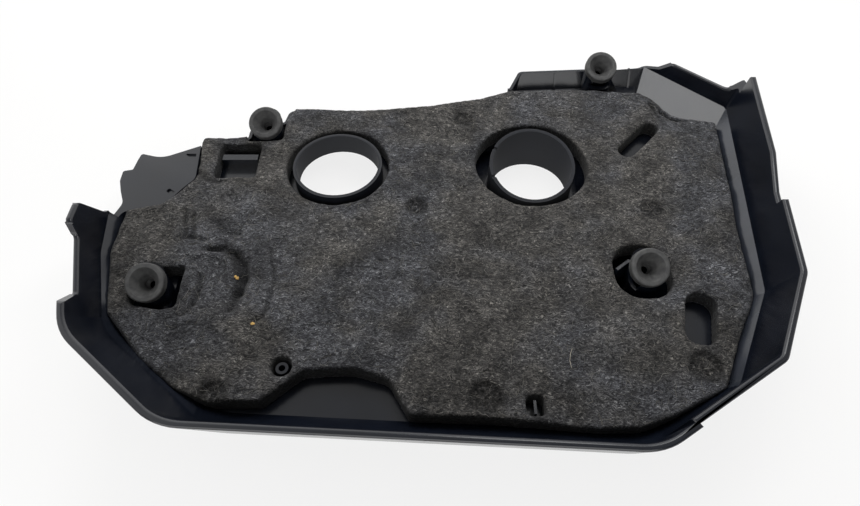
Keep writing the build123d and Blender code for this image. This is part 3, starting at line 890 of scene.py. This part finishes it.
def studio_floor():
    """White table, bright to the camera, that takes the cover's shadow and is clear from below."""
    mesh = bpy.data.meshes.new("table")
    corners = [(-1, -1), (1, -1), (1, 1), (-1, 1)]
    places = [(x * TABLE_REACH, y * TABLE_REACH, -TABLE_DROP * MM) for x, y in corners]
    mesh.from_pydata(places, [], [(0, 1, 2, 3)])
    material, tree, shader = new_material("white_table")
    shader.inputs["Base Color"].default_value = linear("#f2f1ee")
    shader.inputs["Roughness"].default_value = 0.6
    light = add_node(tree, "ShaderNodeEmission", {"Color": (1, 1, 1, 1), "Strength": 1.0})
    share = add_node(tree, "ShaderNodeMath", {0: backdrop_rays(tree), 1: TABLE_GLOW}, operation="MULTIPLY")
    mixed = add_node(
        tree, "ShaderNodeMixShader", {0: share.outputs[0], 1: shader.outputs[0], 2: light.outputs[0]}
    )
    under = add_node(tree, "ShaderNodeNewGeometry").outputs["Backfacing"]
    clear = add_node(tree, "ShaderNodeBsdfTransparent")
    sided = add_node(tree, "ShaderNodeMixShader", {0: under, 1: mixed.outputs[0], 2: clear.outputs[0]})
    tree.links.new(sided.outputs[0], tree.nodes["Material Output"].inputs["Surface"])
    floor = new_object("table", mesh, material)


def studio_light():
    """White room, bright low behind the cover and dim in front, with a dark ceiling, and its soft lamps."""
    world = bpy.data.worlds.new("white_room")
    bpy.context.scene.world = world
    world.use_nodes = True
    tree = world.node_tree
    back = tree.nodes["Background"]
    back.inputs["Color"].default_value = (1, 1, 1, 1)
    towards = add_node(tree, "ShaderNodeTexCoord").outputs["Generated"]
    low_back = add_node(tree, "ShaderNodeVectorMath", {0: towards, 1: ROOM_BRIGHT}, operation="DOT_PRODUCT")
    room = add_node(
        tree,
        "ShaderNodeMapRange",
        {"Value": low_back.outputs["Value"], "From Min": -0.1, "From Max": 1.0, "To Min": 0.1, "To Max": 1.5},
    )
    # A dark ceiling over the table, which the flat faces mirror to the camera
    ceiling = add_node(tree, "ShaderNodeVectorMath", {0: towards, 1: ROOM_DARK}, operation="DOT_PRODUCT")
    hidden = add_node(
        tree,
        "ShaderNodeMapRange",
        {"Value": ceiling.outputs["Value"], "From Min": 0.8, "From Max": 0.97, "To Min": 1.0, "To Max": 0.48},
        interpolation_type="SMOOTHSTEP",
    )
    level = add_node(
        tree, "ShaderNodeMath", {0: room.outputs["Result"], 1: hidden.outputs["Result"]}, operation="MULTIPLY"
    )
    # White all round at the horizon, where the backdrop is seen
    direction = add_node(tree, "ShaderNodeSeparateXYZ", {0: towards})
    horizon = add_node(
        tree,
        "ShaderNodeMapRange",
        {"Value": direction.outputs["Z"], "From Min": 0.1, "From Max": 0.22, "To Min": 1.0, "To Max": 0.0},
        interpolation_type="SMOOTHSTEP",
    )
    seen = add_node(
        tree, "ShaderNodeMath", {0: level.outputs[0], 1: horizon.outputs["Result"]}, operation="MAXIMUM"
    )
    tree.links.new(seen.outputs[0], back.inputs["Strength"])
    for name, place, target, width, height, watts, dull, glossy in LAMPS:
        lamp = bpy.data.lights.new(name, "AREA")
        lamp.shape = "RECTANGLE"
        lamp.size = width
        lamp.size_y = height
        lamp.energy = watts
        holder = bpy.data.objects.new(name, lamp)
        holder.visible_diffuse = dull
        holder.visible_glossy = glossy
        holder.location = place
        holder.rotation_euler = (Vector(target) - Vector(place)).to_track_quat("-Z", "Y").to_euler()
        bpy.context.scene.collection.objects.link(holder)


def photograph_camera():
    """Camera at the photograph's place and angle."""
    lens = bpy.data.cameras.new("camera")
    lens.sensor_width = SENSOR
    lens.lens = SENSOR * FOCAL_PIXELS / IMAGE_WIDTH
    lens.clip_start = 0.01
    holder = bpy.data.objects.new("camera", lens)
    holder.location = CAMERA_PLACE
    holder.rotation_euler = (radians(90 - CAMERA_DOWN), 0, 0)
    bpy.context.scene.collection.objects.link(holder)
    bpy.context.scene.camera = holder


bpy.context.scene.view_settings.view_transform = "Standard"
photograph_camera()
studio_light()
studio_floor()

plastic = moulded_polypropylene()
shell = moulded_shell(plastic)
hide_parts("cover_shell")
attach(shell, "root")

felt = felt_mat(needled_felt())
fibres = loose_fibres(felt, felt_fibre())
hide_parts("insulation_felt")
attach(felt, "root")
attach(fibres, "root")

bits = crumbs(felt, plain_material("dry_crumb", "#c8a25c", 0.6))
hair = pale_hair(felt, plain_material("pale_hair", "#a09a8e", 0.5))
for loose in (bits, hair):
    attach(loose, "root")

rubber = epdm_rubber()
for name, part in nodes.items():
    if name.startswith("grommet"):
        part.data.materials.clear()
        part.data.materials.append(rubber)
